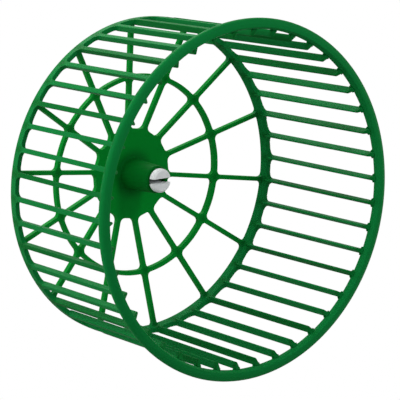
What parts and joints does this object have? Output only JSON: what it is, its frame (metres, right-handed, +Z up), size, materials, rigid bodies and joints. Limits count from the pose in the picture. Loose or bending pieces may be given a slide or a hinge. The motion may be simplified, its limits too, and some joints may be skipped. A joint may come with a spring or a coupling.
{
  "type": "hamster wheel",
  "caption": "Open barred running wheel for a small pet that spins on a split snap pin clamped to the wires of a cage wall.",
  "frame": {"origin": "on the wheel's axle, at the face of the wall plate that bears on the cage wires", "axes": "+Z up, the axle along Y, the wheel's open mouth towards -Y and the cage wall at y = 0 to 3 mm"},
  "size_m": [0.14, 0.0923, 0.14],
  "materials": {
    "wheel_green": "semi-gloss moulded, slightly translucent",
    "pin_white": "satin moulded",
    "clamp_white": "satin moulded"
  },
  "bodies": {
    "fixing": {"axle_pin": "pin_white", "wall_plate": "clamp_white", "clamp_plate": "clamp_white", "wing_nut": "clamp_white"},
    "wheel": {"front_rim": "wheel_green", "back_ring": "wheel_green", "mid_ring": "wheel_green", "hub_spider": "wheel_green", "hub_boss": "wheel_green", "rung_01": "wheel_green", "rung_02": "wheel_green", "rung_03": "wheel_green", "rung_04": "wheel_green", "rung_05": "wheel_green", "rung_06": "wheel_green", "rung_07": "wheel_green", "rung_08": "wheel_green", "rung_09": "wheel_green", "rung_10": "wheel_green", "rung_11": "wheel_green", "rung_12": "wheel_green", "rung_13": "wheel_green", "rung_14": "wheel_green", "rung_15": "wheel_green", "rung_16": "wheel_green", "rung_17": "wheel_green", "rung_18": "wheel_green", "rung_19": "wheel_green", "rung_20": "wheel_green", "rung_21": "wheel_green", "rung_22": "wheel_green", "rung_23": "wheel_green", "rung_24": "wheel_green", "rung_25": "wheel_green", "rung_26": "wheel_green", "rung_27": "wheel_green", "rung_28": "wheel_green", "rung_29": "wheel_green", "rung_30": "wheel_green", "rung_31": "wheel_green", "rung_32": "wheel_green", "rung_33": "wheel_green", "rung_34": "wheel_green", "rung_35": "wheel_green", "rung_36": "wheel_green", "rung_37": "wheel_green", "rung_38": "wheel_green", "rung_39": "wheel_green", "rung_40": "wheel_green", "rung_41": "wheel_green", "rung_42": "wheel_green"}
  },
  "joints": [
    {"name": "wheel_spin", "type": "hinge", "parent": "fixing", "child": "wheel", "pos_m": [0, 0, 0], "axis": [0, 1, 0], "continuous": true}
  ]
}
